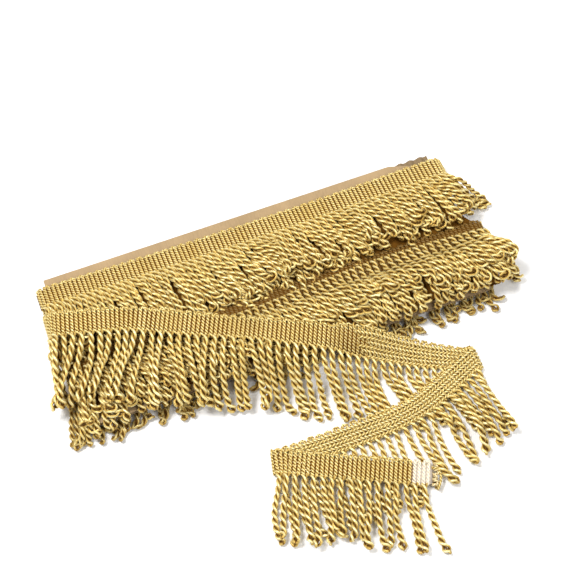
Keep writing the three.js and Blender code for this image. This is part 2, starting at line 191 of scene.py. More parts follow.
def colour_property(name, about, default):
    """A colour."""
    return FloatVectorProperty(
        name=name, description=about, default=default, min=0, max=1, size=3, subtype="COLOR",
    )


class FringeSizes(bpy.types.PropertyGroup):
    """Sizes of the trim's yarns"""

    ply: length_property("Ply radius", "Radius of each of a strand's two plies", 0.00099, 0.0003, 0.003)
    twist: length_property("Twist length", "Length of one full twist of a strand", 0.0106, 0.004, 0.04)
    rib: length_property("Rib radius", "Ply radius of the header's yarn", 0.00061, 0.0002, 0.002)
    rib_twist: length_property("Rib twist", "Length of one full twist of it", 0.0042, 0.001, 0.02)


class FringeColours(bpy.types.PropertyGroup):
    """Colours of the trim, its card and the floor"""

    gold: colour_property("Gold", "The yarn's main colour", (0.69, 0.53, 0.178))
    # pale is a painted highlight: it colours the plies' outward crests, broken up by the filaments
    pale: colour_property("Pale gold", "Painted highlight on the plies' crests, and lighter filaments", (1.0, 0.91, 0.53))
    # shade is painted shade: the colour of the creases between the plies, the cords' cores, the header
    # ground and the inner body
    shade: colour_property("Shade", "Painted shade between the plies", (0.12, 0.05, 0.007))
    kraft: colour_property("Kraft", "The card's paper", (0.37, 0.255, 0.134))
    floor: colour_property("Floor", "The floor", (0.93, 0.93, 0.93))


# ---- node trees


class Graph:
    """Short hand for adding linked nodes to a tree."""

    def __init__(self, tree):
        self.tree = tree

    def feed(self, socket, value):
        if isinstance(value, bpy.types.NodeSocket):
            self.tree.links.new(value, socket)
        elif isinstance(value, bpy.types.Node):
            self.tree.links.new(next(out for out in value.outputs if out.enabled), socket)
        else:
            socket.default_value = value

    def add(self, kind, inputs=None, **settings):
        node = self.tree.nodes.new(kind)
        for name, value in settings.items():
            setattr(node, name, value)
        for name, value in (inputs or {}).items():
            if isinstance(name, int):
                self.feed(node.inputs[name], value)
            else:
                self.feed(next(s for s in node.inputs if s.name == name and s.enabled), value)
        return node

    def math(self, operation, *values):
        return self.add("ShaderNodeMath", dict(enumerate(values)), operation=operation)

    def vector(self, operation, *values):
        return self.add("ShaderNodeVectorMath", dict(enumerate(values)), operation=operation)

    def scale(self, vector, factor):
        return self.add("ShaderNodeVectorMath", {"Vector": vector, "Scale": factor}, operation="SCALE")

    def join(self, *parts):
        node = self.add("GeometryNodeJoinGeometry")
        for part in parts:
            self.feed(node.inputs[0], part)
        return node

    def named(self, name, kind="FLOAT"):
        """A stored value, in a geometry tree."""
        return self.add("GeometryNodeInputNamedAttribute", {"Name": name}, data_type=kind).outputs[0]

    def store(self, geometry, name, value, kind="FLOAT"):
        inputs = {"Geometry": geometry, "Name": name, "Value": value}
        return self.add("GeometryNodeStoreNamedAttribute", inputs, data_type=kind, domain="POINT")

    def attribute(self, name, output="Fac"):
        """A stored value, in a material."""
        node = self.add("ShaderNodeAttribute", attribute_name=name, attribute_type="GEOMETRY")
        return node.outputs[output]

    def blend(self, factor, first, second):
        """A mix of two colours."""
        node = self.add("ShaderNodeMix", {"Factor": factor, 6: first, 7: second}, data_type="RGBA")
        return node.outputs[2]

    def noise(self, place, scale, detail):
        inputs = {"Vector": place, "Scale": scale, "Detail": detail}
        return self.add("ShaderNodeTexNoise", inputs).outputs[0]

    def ramp(self, value, first, last, *between):
        """A colour ramp with these (position, colour) stops."""
        node = self.add("ShaderNodeValToRGB", {0: value})
        stops = node.color_ramp.elements
        for stop, (position, colour) in zip(stops, (first, last)):
            stop.position, stop.color = position, colour
        for position, colour in between:
            stops.new(position).color = colour
        return node

    def bump(self, shader, height, strength, distance):
        """Fine relief on a shader."""
        relief = self.add("ShaderNodeBump", {"Strength": strength, "Distance": distance, "Height": height})
        self.feed(shader.inputs["Normal"], relief)


def cord_tree():
    """Two plies twisted round each guide line, closed in a small loop at the far end."""
    tree = bpy.data.node_groups.new("Twisted cord", "GeometryNodeTree")
    kinds = {"Geometry": "Geometry", "Sides": "Int", "Material": "Material"}
    lengths = ("Ply radius", "Core", "Core step", "Spread", "Flatness", "Twist length", "Step", "Loop")
    for label in (*kinds, *lengths):
        kind = "NodeSocket" + kinds.get(label, "Float")
        tree.interface.new_socket(label, in_out="INPUT", socket_type=kind)
    tree.interface.new_socket("Geometry", in_out="OUTPUT", socket_type="NodeSocketGeometry")
    graph = Graph(tree)
    given = graph.add("NodeGroupInput").outputs
    ply = given["Ply radius"]
    curves = graph.add("GeometryNodeMeshToCurve", {"Mesh": given["Geometry"]})
    bent = graph.add("GeometryNodeCurveSplineType", {"Curve": curves}, spline_type="CATMULL_ROM")
    line, inside = (
        graph.add("GeometryNodeResampleCurve", {"Curve": bent, "Length": given[step]}, mode="LENGTH")
        for step in ("Step", "Core step")
    )

    # Two directions square to the line, the first towards the stored side
    along = graph.add("GeometryNodeSplineParameter").outputs["Length"]
    total = graph.add("GeometryNodeSplineLength").outputs["Length"]
    tangent = graph.add("GeometryNodeInputTangent")
    side = graph.named("side", "FLOAT_VECTOR")
    lean = graph.vector("DOT_PRODUCT", side, tangent).outputs["Value"]
    first = graph.vector("NORMALIZE", graph.vector("SUBTRACT", side, graph.scale(tangent, lean)))
    second = graph.vector("CROSS_PRODUCT", first, tangent)

    # The twist, pressed a little flat
    turns = graph.math("MULTIPLY", graph.math("DIVIDE", along, given["Twist length"]), graph.named("turns"))
    angle = graph.math("MULTIPLY", turns, 2 * math.pi)
    level = graph.scale(first, graph.math("COSINE", angle))
    upright = graph.scale(second, graph.math("SINE", angle))
    out = graph.vector("ADD", level, upright)
    pressed = graph.vector("ADD", level, graph.scale(upright, given["Flatness"]))

    # How far the plies lie apart: wide at the root, and in the loop closed at the tip
    left = graph.math("SUBTRACT", total, along)
    tip = graph.add("ShaderNodeFloatCurve", {
        "Value": graph.math("DIVIDE", left, graph.math("MULTIPLY", ply, LOOP_LENGTH)),
    })
    shape = tip.mapping.curves[0]
    shape.points[0].location, shape.points[1].location = LOOP_SHAPE[0], LOOP_SHAPE[-1]
    for place in LOOP_SHAPE[1:-1]:
        shape.points.new(*place)
    tip.mapping.update()
    opened = graph.add("ShaderNodeMix", {
        "Factor": given["Loop"], "A": 1.0, "B": graph.math("MULTIPLY", tip, 2.0),
    }, data_type="FLOAT")
    root = graph.add("ShaderNodeMapRange", {
        "Value": along, "From Min": 0.0, "From Max": 0.004, "To Min": 1.5, "To Max": 1.0,
    }, interpolation_type="SMOOTHSTEP")
    apart = graph.math("MULTIPLY", ply, given["Spread"])
    spread = graph.math("MULTIPLY", graph.math("MULTIPLY", opened, root), apart)

    def sweep(curve, profile):
        inputs = {"Curve": curve, "Profile Curve": profile, "Fill Caps": True}
        return graph.add("GeometryNodeCurveToMesh", inputs)

    profile = graph.add("GeometryNodeCurvePrimitiveCircle", {"Resolution": given["Sides"], "Radius": ply})
    ring = graph.vector("NORMALIZE", graph.add("GeometryNodeInputPosition"))
    profile = graph.store(profile, "ring", ring, "FLOAT_VECTOR")
    plies = []
    for sign in (1.0, -1.0):
        kept = graph.store(line, "outward", graph.scale(out, sign), "FLOAT_VECTOR")
        kept = graph.store(kept, "run", along)
        moved = graph.add("GeometryNodeSetPosition", {
            "Geometry": kept, "Offset": graph.scale(pressed, graph.math("MULTIPLY", spread, sign)),
        })
        plies.append(sweep(moved, profile))
    # A thin core between the plies: a dark tube, painted in full shade, where the gap between the plies
    # shows only shade
    thin = graph.add("GeometryNodeCurvePrimitiveCircle", {
        "Resolution": 4, "Radius": graph.math("MULTIPLY", ply, given["Core"]),
    })

    # Values for the yarn's material: how deep between the plies, which places its painted highlight and
    # painted shade, and round and along a ply
    normal = graph.add("GeometryNodeInputNormal").outputs[0]
    facing = graph.vector("DOT_PRODUCT", normal, graph.named("outward", "FLOAT_VECTOR")).outputs["Value"]
    both = graph.store(graph.join(*plies), "crease", graph.math("MULTIPLY_ADD", facing, -0.5, 0.5))
    whole = graph.join(both, graph.store(sweep(inside, thin), "crease", CORE_CREASE))
    parts = graph.add("ShaderNodeSeparateXYZ", {0: graph.named("ring", "FLOAT_VECTOR")}).outputs
    grain = graph.add("ShaderNodeCombineXYZ", {
        0: parts[0], 1: parts[1], 2: graph.math("MULTIPLY", graph.named("run"), 100.0),
    })
    marked = graph.store(whole, "grain", grain, "FLOAT_VECTOR")
    real = graph.add("GeometryNodeRealizeInstances", {0: marked})
    smooth = graph.add("GeometryNodeSetShadeSmooth", {0: real})
    painted = graph.add("GeometryNodeSetMaterial", {"Geometry": smooth, "Material": given["Material"]})
    graph.feed(graph.add("NodeGroupOutput").inputs[0], painted)
    return tree


# ---- geometry helpers


def unit(vectors):
    """These vectors at length one."""
    length = np.linalg.norm(vectors, axis=-1, keepdims=True)
    return vectors / np.maximum(length, 1e-9)


def table_at(rows, place):
    """Value of a table of (place, value) rows."""
    return float(np.interp(place, *zip(*rows)))


def heading_vector(angle):
    """Level unit vector with this heading in degrees."""
    turn = math.radians(angle)
    return np.array([math.cos(turn), math.sin(turn), 0.0])


def smooth_step(value, low, high):
    """0 below low, 1 above high, eased between."""
    share = np.clip((value - low) / (high - low), 0.0, 1.0)
    return share * share * (3 - 2 * share)


def to_metres(points):
    """Card millimetres as metres in the frame."""
    return np.asarray(points, float) * MM + CARD_MIDDLE


def link(name, mesh):
    """A new object at the origin with this mesh."""
    piece = bpy.data.objects.new(name, mesh)
    bpy.context.scene.collection.objects.link(piece)
    return piece


def clean(mesh, inward=0.0):
    """Closes a mesh's seams, turns its normals outwards and moves its skin inwards."""
    work = bmesh.new()
    work.from_mesh(mesh)
    bmesh.ops.remove_doubles(work, verts=work.verts, dist=1e-6)
    bmesh.ops.recalc_face_normals(work, faces=work.faces)
    shifts = [vertex.normal * inward * MM for vertex in work.verts]
    for vertex, shift in zip(work.verts, shifts):
        vertex.co -= shift
    work.to_mesh(mesh)
    work.free()


def mesh_piece(name, points, faces, material, smooth=True):
    """A piece from card-millimetre points and faces, with its normals outwards."""
    mesh = bpy.data.meshes.new(name)
    mesh.from_pydata(to_metres(points).tolist(), [], faces)
    clean(mesh)
    mesh.polygons.foreach_set("use_smooth", [smooth] * len(mesh.polygons))
    mesh.materials.append(Maker.material[material])
    return link(name, mesh)


def bar_faces(count, start=0):
    """Faces of a closed bar through this many rings of four points, the first of them at start."""
    last = start + 4 * (count - 1)
    faces = [
        (a + k, a + (k + 1) % 4, a + 4 + (k + 1) % 4, a + 4 + k)
        for a in range(start, last, 4) for k in range(4)
    ]
    return faces + [tuple(range(start, start + 4)), (last + 3, last + 2, last + 1, last)]


def guide_mesh(name, guides):
    """A mesh of lines, one for each guide: its points and the values that ride on it."""
    counts = [len(guide["points"]) for guide in guides]
    starts = np.cumsum([0] + counts[:-1])
    edges = [(start + i, start + i + 1) for start, count in zip(starts, counts) for i in range(count - 1)]
    mesh = bpy.data.meshes.new(name)
    mesh.from_pydata(to_metres(np.concatenate([guide["points"] for guide in guides])).tolist(), edges, [])
    for key, size in (("side", 3), ("turns", 1), ("tone", 1), ("bleach", 1)):
        values = []
        for guide, count in zip(guides, counts):
            value = np.asarray(guide.get(key, 1.0 if key == "turns" else np.zeros(size)), float)
            values.append(np.broadcast_to(value.reshape(-1, size), (count, size)))
        attribute = mesh.attributes.new(key, "FLOAT_VECTOR" if size == 3 else "FLOAT", "POINT")
        attribute.data.foreach_set("vector" if size == 3 else "value", np.concatenate(values).ravel())
    return mesh


def grow(name, mesh, tree, values):
    """Runs a node tree on a mesh once and keeps the result as a plain mesh."""
    piece = link(name, mesh)
    modifier = piece.modifiers.new("Grow", "NODES")
    modifier.node_group = tree
    for item in tree.interface.items_tree:
        if item.item_type == "SOCKET" and item.in_out == "INPUT" and item.name in values:
            modifier[item.identifier] = values[item.name]
    graph = bpy.context.evaluated_depsgraph_get()
    made = bpy.data.meshes.new_from_object(
        piece.evaluated_get(graph), preserve_all_data_layers=True, depsgraph=graph
    )
    piece.modifiers.clear()
    piece.data = made
    made.name = name
    bpy.data.meshes.remove(mesh)
    return piece


def finish_piece(piece, replaced=()):
    """Says what a finished piece rides on and stands for."""
    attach(piece, "root")
    if replaced:
        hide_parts(*replaced)


# ---- the band and the ground that strands fall on


class Band:
    """A ribbon of header, from points on its upper and lower edges."""

    def __init__(self, top, low):
        top, low = np.asarray(top, float), np.asarray(low, float)
        middle = (top + low) / 2
        steps = np.linalg.norm(np.diff(middle, axis=0), axis=1)
        self.at = np.concatenate([[0.0], np.cumsum(steps)])
        self.length = float(self.at[-1])
        self.top, self.low = top, low
        tangent = unit(np.gradient(middle, self.at, axis=0))
        self.normal = unit(np.cross(tangent, top - low))
        self.tangent = tangent

    def _mix(self, rows, u):
        return np.stack([np.interp(u, self.at, rows[:, k]) for k in range(3)], axis=-1)

    def point(self, u, v, w=0.0):
        """The place at u along the band, v from its upper to its lower edge and w off its ribbed face."""
        u, v, w = np.broadcast_arrays(np.asarray(u, float), v, w)
        share = v[..., None]
        flat = self._mix(self.top, u) * (1 - share) + self._mix(self.low, u) * share
        return flat + unit(self._mix(self.normal, u)) * w[..., None]

    def along(self, u):
        return unit(self._mix(self.tangent, np.asarray(u, float)))


class Ground:
    """Heights on a grid of millimetres, raised by every band and strand laid on it."""

    low = np.array([-175.0, -215.0])
    size = (350, 290)

    def __init__(self, tree):
        self.height = np.zeros(self.size)
        self.roof = {}
        for i in range(20, 335):
            for j in range(150, 275):
                spot = [*(self.low + (i + 0.5, j + 0.5)), 60.0]
                hit = tree.ray_cast(Vector(to_metres(spot)), Vector((0, 0, -1)))[0]
                if hit is not None:
                    self.height[i, j] = hit.z / MM

    def index(self, points):
        cells = (np.asarray(points)[..., :2] - self.low).astype(int)
        return np.clip(cells, 1, np.array(self.size) - 2)

    def support(self, spot):
        i, j = self.index(spot)
        return self.height[i - 1:i + 2, j - 1:j + 2].max()

    def under(self, spot, names):
        i, j = self.index(spot)
        return min((self.roof[name][i, j] for name in names), default=1e3)

    def cells_of(self, band, first, last):
        """Grid cells under a stretch of band, with the band's height at each."""
        u, v = np.meshgrid(np.arange(first, last, 0.5), np.linspace(0, 1, 30), indexing="ij")
        spots = band.point(u, v).reshape(-1, 3)
        cells = self.index(spots)
        return cells[:, 0], cells[:, 1], spots[:, 2]

    def note_roof(self, name, band, first, last):
        """Notes how low the underside of a stretch of band is."""
        i, j, z = self.cells_of(band, first, last)
        roof = np.full(self.size, 1e3)
        np.minimum.at(roof, (i, j), z - BAND / 2)
        self.roof[name] = roof

    def lay_band(self, band, first, last):
        """Raises the ground by a stretch of band."""
        i, j, z = self.cells_of(band, first, last)
        np.maximum.at(self.height, (i, j), z + BAND / 2)

    def swell(self, far, near, rise):
        """Raises the ground in a rounded ridge: the wound strands that lie unseen below."""
        x, y = (self.low[k] + np.arange(self.size[k]) + 0.5 for k in (0, 1))
        share = np.clip((far - y) / (far - near), 0, 1)
        ends = smooth_step(x, -134.0, -122.0) * (1 - smooth_step(x, 138.0, 150.0))
        self.height += rise * ends[:, None] * (np.sin(np.pi * share) ** 0.75)[None, :]

    def lay_strand(self, points, firmness):
        """Raises the ground along a strand; firmness 1 is a hard cord, less sinks in."""
        for point in points:
            i, j = self.index(point)
            block = self.height[i - 2:i + 3, j - 2:j + 3]
            x, y = (self.low[k] + np.arange(at - 2, at + 3) + 0.5 - point[k] for k, at in ((0, i), (1, j)))
            away = np.hypot(x[:, None], y[None, :])
            top = point[2] + np.sqrt(np.maximum(CORD ** 2 - away ** 2, 0)) * firmness
            np.maximum(block, np.where(away < CORD, top, 0), out=block)


def walk(ground, root, start, end, length, fall, curl, roofs, wave, sink):
    """A strand's centre line: out from its root, over what lies below it, down to the table."""
    steps = 24
    size = length / steps
    points = [np.array(root, float)]
    for i in range(steps):
        share = (i + 0.5) / steps
        heading = start + (end - start) * smooth_step(share, 0.0, 0.35)
        heading += wave * math.sin(5.2 * share) + curl * smooth_step(share, 0.76, 1.0)
        level = heading_vector(heading)
        here = points[-1]
        drop = size * math.sin(math.radians(min(fall, 5.0 * (i + 1))))
        reach = size
        for _ in range(2):
            spot = here + level * reach
            rest = max(ground.support(spot) - sink, 0.0) + CORD
            rest = min(rest, ground.under(spot, roofs) - CORD - 0.2)
            height = max(rest, here[2] - drop, CORD)
            height = min(height, here[2] + 0.7 * size)
            reach = math.sqrt(max(size ** 2 - (height - here[2]) ** 2, 0.16 * size ** 2))
        points.append(np.array([spot[0], spot[1], height]))
    line = np.array(points)
    for _ in range(3):
        line[1:-1, 2] = np.maximum(line[1:-1, 2], (line[:-2, 2] + line[2:, 2]) / 2)
    for _ in range(2):
        line[1:-1, 2] = 0.5 * line[1:-1, 2] + 0.25 * (line[:-2, 2] + line[2:, 2])
    return line


def layers_over(tree, place):
    """Middle heights of the header's layers over a place, the lowest first."""
    found = []
    spot = Vector(to_metres([*place[:2], -1.0]))
    for _ in range(8):
        hit = tree.ray_cast(spot, Vector(UP))[0]
        if hit is None:
            break
        found.append(hit.z / MM)
        spot = hit + Vector((0, 0, 1e-5))
    return [(low + high) / 2 for low, high in zip(found[::2], found[1::2])] or [BAND / 2]


def turn_edges(middle_y):
    """The header's edges round the card's left end, up to where run a starts."""
    slant = math.radians(TURN["slant"])
    for angle in TURN["angles"]:
        sin, cos = math.sin(math.radians(angle)), math.cos(math.radians(angle))
        away = (TURN["wide"] + TURN["high"]) / 2 * math.radians(angle)
        place = np.array([
            TURN["x"] - TURN["wide"] * sin,
            middle_y + away * math.sin(slant),
            TURN["z"] + TURN["high"] * cos,
        ])
        across = np.array([math.sin(slant) * cos, math.cos(slant), math.sin(slant) * sin])
        yield place + across * HEADER / 2, place - across * HEADER / 2


def band_from_runs(tree):
    """The loose end's whole ribbon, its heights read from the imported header."""
    headings = {name: (run["heading"][0][1], run["heading"][-1][1]) for name, run in RUNS.items()}
    creases = [((headings[one][1] + headings[two][0]) / 2) % 180 for one, two in ("ab", "bc")]
    ends = {"a": (None, creases[0]), "b": tuple(creases), "c": (creases[1], None)}
    here = np.array([*LOOSE_START, 0.0])
    edges, marks = [], {}
    for name, run in RUNS.items():
        count = round(run["length"] / SECTION)
        size = run["length"] / count
        rows = []
        for i in range(count + 1):
            heading = table_at(run["heading"], i * size)
            square = heading + 90 * run["face"]
            crease = ends[name][0] if i == 0 else ends[name][1] if i == count else None
            across = square if crease is None else crease
            half = HEADER / math.cos(math.radians(across - square)) / 2
            pair = [here + heading_vector(across) * side * half for side in (1, -1)]
            # The height comes from two probes, a little inside the run where it ends in a fold
            pick = -1 if (name == "c" or (name == "b" and i < count / 2)) else 0
            inner = 0.25 if i == 0 else -0.25 if i == count else 0.0
            nudge = heading_vector(heading) * inner
            level = [
                layers_over(tree, pair[0] * (1 - share) + pair[1] * share + nudge)[pick] for share in PROBES
            ]
            slope = (level[1] - level[0]) / (PROBES[1] - PROBES[0])
            pair[0][2] = level[0] - slope * PROBES[0] + BAND_LIFT
            pair[1][2] = level[1] + slope * (1 - PROBES[1]) + BAND_LIFT
            rows.append(pair)
            here = here + heading_vector(table_at(run["heading"], (i + 0.5) * size)) * size
        here = np.array([*((rows[-1][0] + rows[-1][1]) / 2)[:2], 0.0])
        if name == "a":
            edges.extend(turn_edges(((rows[0][0] + rows[0][1]) / 2)[1]))
        marks[name] = len(edges)
        edges.extend(rows)
        if name != "c":
            crease = unit((rows[-1][0] - rows[-1][1]) * (1, 1, 0))
            out = heading_vector(heading)
            out = unit(out - crease * out.dot(crease))
            for angle in (45, 90, 135):
                turn = math.radians(angle)
                shift = out * FOLD_BEND * math.sin(turn)
                shift[2] = FOLD_BEND * (1 - math.cos(turn))
                edges.append([edge + shift for edge in rows[-1]])
    band = Band([pair[0] for pair in edges], [pair[1] for pair in edges])
    return band, {name: band.at[index] for name, index in marks.items()}


def node_tree_of(*names):
    """A search tree over the faces of these CAD nodes."""
    points, faces = [], []
    for name in names:
        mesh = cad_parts[name].data
        mesh.calc_loop_triangles()
        base = len(points)
        points.extend(vertex.co.copy() for vertex in mesh.vertices)
        faces.extend([base + index for index in tri.vertices] for tri in mesh.loop_triangles)
    return BVHTree.FromPolygons(points, faces)


WINDING = node_tree_of("winding")


def skin(x, y):
    """The winding's upper and lower height at a place on the card."""
    return [
        WINDING.ray_cast(Vector(to_metres([x, y, z])), Vector((0, 0, way)))[0].z / MM
        for z, way in ((60.0, -1), (-5.0, 1))
    ]


def straight_ends(y):
    """Where the straight run ends and the turn round the card begins."""
    share = min(max((6.0 - y) / 10.0, 0.0), 1.0)
    right = ENDS["far"] + (ENDS["near"] - ENDS["far"]) * share
    return ENDS["left"] + ENDS["bend"], right - ENDS["bend"]


def wound_band(start, side, offset, past=0.45, level=None, bow=0.0):
    """A header on the winding: above it, or below with side -1, its ends turned round the card."""
    places = np.concatenate([
        np.linspace(-1 - past, -1, 9)[:-1], np.linspace(-1, 1, 57), np.linspace(1, 1 + past, 9)[1:],
    ])
    edges = []
    for y in (start, start - HEADER):
        left, right = straight_ends(y)
        rows = []
        for t in places:
            x = left + (right - left) * (min(max(t, -1.0), 1.0) + 1) / 2
            high, low = level or skin(x, min(max(y, -51.0), 45.0))
            if abs(t) <= 1:
                rows.append([x, y - bow * (1 - t * t), high + offset if side > 0 else low - offset])
                continue
            angle = (abs(t) - 1) * math.pi
            half = (high - low) / 2 + offset
            out = (ENDS["bend"] + offset) * math.sin(angle) * math.copysign(1, t)
            rows.append([x + out, y, (high + low) / 2 + side * half * math.cos(angle)])
        edges.append(rows)
    return Band(*edges)


def hairpins(band, rng, bleach=None, loop=0.09, margin=0.0):
    """The header's ribs: yarn that runs up, loops over the top edge and comes down again."""
    guides = []
    first, last = margin, band.length - margin
    quarter = PITCH / 4
    up, edge = np.linspace(1.0, 0.03, 12), np.zeros(12)
    turn = np.radians(np.linspace(20, 160, 5))
    across = np.concatenate([up, 0.03 - loop * np.sin(turn), up[::-1]])
    rise = -0.35 * np.concatenate([edge, np.sin(turn), edge])
    for i in range(int((last - first) / PITCH)):
        u = first + (i + 0.5) * PITCH
        over = u + 2 * quarter - 1.35 * quarter * np.cos(turn)
        along = np.concatenate([edge + u + quarter, over, edge + u + 3 * quarter])
        points = band.point(along, across + rng.normal(0, 0.006), rise + rng.normal(0, 0.08))
        points[:, 2] = np.maximum(points[:, 2], RIB_FLOOR)
        guides.append({
            "points": points,
            "side": band.along(along),
            "turns": 1.0 + rng.normal(0, 0.03),
            "tone": rng.normal(0, 0.5),
            "bleach": bleach(along, across) if bleach else 0.0,
        })
    return guides


def chain_rows(band, first, last, rng, depth=-0.85, ragged=0.0):
    """The chain stitches that hold the ribs: rows of yarn along the header."""
    guides = []
    for k, across in enumerate(CHAINS):
        start = first + (rng.uniform(-ragged, ragged) if ragged else 0.0)
        guides.append({
            "points": band.point(np.arange(start, last, 1.4), across, depth),
            "side": UP,
            "turns": 0.86 if k % 2 else -0.86,
            "tone": rng.normal(0, 0.3),
        })
    return guides


def frayed_end(band, rng):
    """Where the header was cut: small loops of its yarn and one loose end."""
    last = band.length
    out = band.along(last)
    guides = []
    turn = np.radians(np.linspace(0, 180, 9))
    for middle in (0.12, 0.37, 0.62, 0.86):
        reach = rng.uniform(2.0, 3.4) * np.sin(turn) - 0.6
        points = band.point(last, middle - 0.11 * np.cos(turn), 0.2) + reach[:, None] * out
        guides.append({"points": points, "side": UP, "tone": 0.4, "bleach": 0.25})
    across = np.array([0.20, 0.26, 0.45, 0.70, 0.95, 1.16])
    reach = np.array([-1.5, 2.4, 3.9, 4.3, 3.7, 3.0])
    height = np.array([1.3, 1.6, 0.6, 0.2, 0.0, 0.0])
    guides.append({"points": band.point(last, across, height) + reach[:, None] * out, "side": UP})
    return guides


class Maker:
    """What the operators share while the part is being made."""

    material = {}
    cord = None
    ground = None
    bands = {}
    marks = {}
    stretches = {}


# ---- materials


def filament_group():
    """Fine filaments that wind round a ply: a mask for colour and a height for bump."""
    tree = bpy.data.node_groups.new("Filaments", "ShaderNodeTree")
    for label, way in (("Scale", "INPUT"), ("Pitch", "INPUT"), ("Mask", "OUTPUT"), ("Height", "OUTPUT")):
        tree.interface.new_socket(label, in_out=way, socket_type="NodeSocketFloat")
    graph = Graph(tree)
    given, target = graph.add("NodeGroupInput").outputs, graph.add("NodeGroupOutput").inputs
    grain = graph.attribute("grain", "Vector")
    run = graph.add("ShaderNodeSeparateXYZ", {0: grain}).outputs[2]
    angle = graph.math("MULTIPLY", run, given["Pitch"])
    turned = graph.add("ShaderNodeVectorRotate", {"Vector": grain, "Angle": angle}, rotation_type="Z_AXIS")
    flat = graph.vector("MULTIPLY", turned, (1.0, 1.0, 0.25))
    noise = graph.noise(flat, given["Scale"], 2.0)
    fine = graph.noise(flat, graph.math("MULTIPLY", given["Scale"], 2.6), 1.0)
    graph.feed(target["Mask"], noise)
    graph.feed(target["Height"], graph.math("MULTIPLY_ADD", fine, 0.5, noise))
    return tree


def opaque(colour, share=1.0):
    """This share of a colour, with alpha one."""
    return np.array([*(np.array(colour) * share), 1.0])


def new_material(name, **constants):
    """A material with its Principled shader, whose plain values are set on its sockets."""
    material = bpy.data.materials.new(name)
    material.use_nodes = True
    shader = next(node for node in material.node_tree.nodes if node.type == "BSDF_PRINCIPLED")
    for key, value in constants.items():
        shader.inputs[key.replace("_", " ")].default_value = value
    return material, Graph(material.node_tree), shader


def yarn_material(name, filaments, colours, dark=0.0, pitch=3.0, gloss=1.0, depth=1.0):
    """Shiny twisted yarn with painted light: a painted highlight in pale gold on the plies' outward crests,
    broken up by filaments, a golden body that darkens towards the crease, and painted shade, brown, between
    the plies.
    """
    material, graph, shader = new_material(
        name, Roughness=0.36 if gloss else 0.9, Metallic=0.35 * gloss, IOR=1.5,
        Specular_IOR_Level=0.3 * gloss, Specular_Tint=(1.0, 0.86, 0.5, 1.0),
        Sheen_Weight=0.3 * gloss, Sheen_Roughness=0.25, Sheen_Tint=(1.0, 0.82, 0.36, 1.0),
    )
    gold, pale, shade = opaque(colours.gold), opaque(colours.pale), opaque(colours.shade)
    group = graph.add("ShaderNodeGroup", {"Scale": 4.5, "Pitch": pitch}, node_tree=filaments)
    # crease is 0 on a ply's outward crest and about 1 deep between the plies; it places the painted
    # highlight and the painted shade
    crease = graph.attribute("crease")
    mask = graph.math("SUBTRACT", group.outputs["Mask"], 0.5)
    uneven = graph.math("MULTIPLY_ADD", mask, -0.22, crease)
    uneven = graph.math("MULTIPLY_ADD", graph.attribute("tone"), -0.03, uneven)
    # Painted highlight and shade: pale on the outward crest, then gold, then darker gold towards the
    # crease, broken up by filaments and tone
    body = graph.ramp(
        uneven, (0.04, pale), (0.47, gold * (0.72, 0.59, 0.40, 1.0)), (0.13, gold * 0.9 + pale * 0.1),
    )
    # Painted shade between the plies: past CREASE the colour turns to the shade colour; dark sets its share
    # everywhere and depth how dark it is
    deep = graph.add("ShaderNodeMapRange", {
        "Value": crease, "From Min": CREASE[0], "From Max": CREASE[1], "To Min": dark, "To Max": 1.0,
    }, interpolation_type="SMOOTHSTEP")
    mixed = graph.blend(deep, body, shade * (depth, depth, depth, 1.0))
    paled = graph.blend(graph.attribute("bleach"), mixed, BLEACHED)
    graph.feed(shader.inputs["Base Color"], paled)
    graph.bump(shader, group.outputs["Height"], 0.5, 0.00015)
    return material


def kraft_material(name, colours, dark):
    """Kraft paper: uneven pulp, darker fibres and a soft matt finish."""
    material, graph, shader = new_material(name, Roughness=0.8, Specular_IOR_Level=0.3)
    place = graph.add("ShaderNodeTexCoord").outputs["Object"]
    cloud = graph.noise(place, 60.0, 4.0)
    fibre = graph.add("ShaderNodeMapping", {"Vector": place, "Scale": (1500.0, 240.0, 900.0)})
    thread = graph.noise(fibre, 1.0, 3.0)
    mixed = graph.math("MULTIPLY_ADD", thread, 0.45, graph.math("MULTIPLY", cloud, 0.6))
    light = 1 - dark
    colour = graph.ramp(
        mixed, (0.38, opaque(colours.kraft, light * 0.88)), (0.66, opaque(colours.kraft, light * 1.08)),
    )
    graph.feed(shader.inputs["Base Color"], colour)
    graph.bump(shader, mixed, 0.4, 0.0002)
    return material


def floor_material(name, colours):
    """Plain pale floor."""
    material, graph, shader = new_material(name, Roughness=0.9, Specular_IOR_Level=0.2)
    place = graph.add("ShaderNodeTexCoord").outputs["Object"]
    cloud = graph.noise(place, 3.0, 2.0)
    colour = graph.ramp(cloud, (0.0, opaque(colours.floor, 0.985)), (1.0, opaque(colours.floor)))
    graph.feed(shader.inputs["Base Color"], colour)
    return material


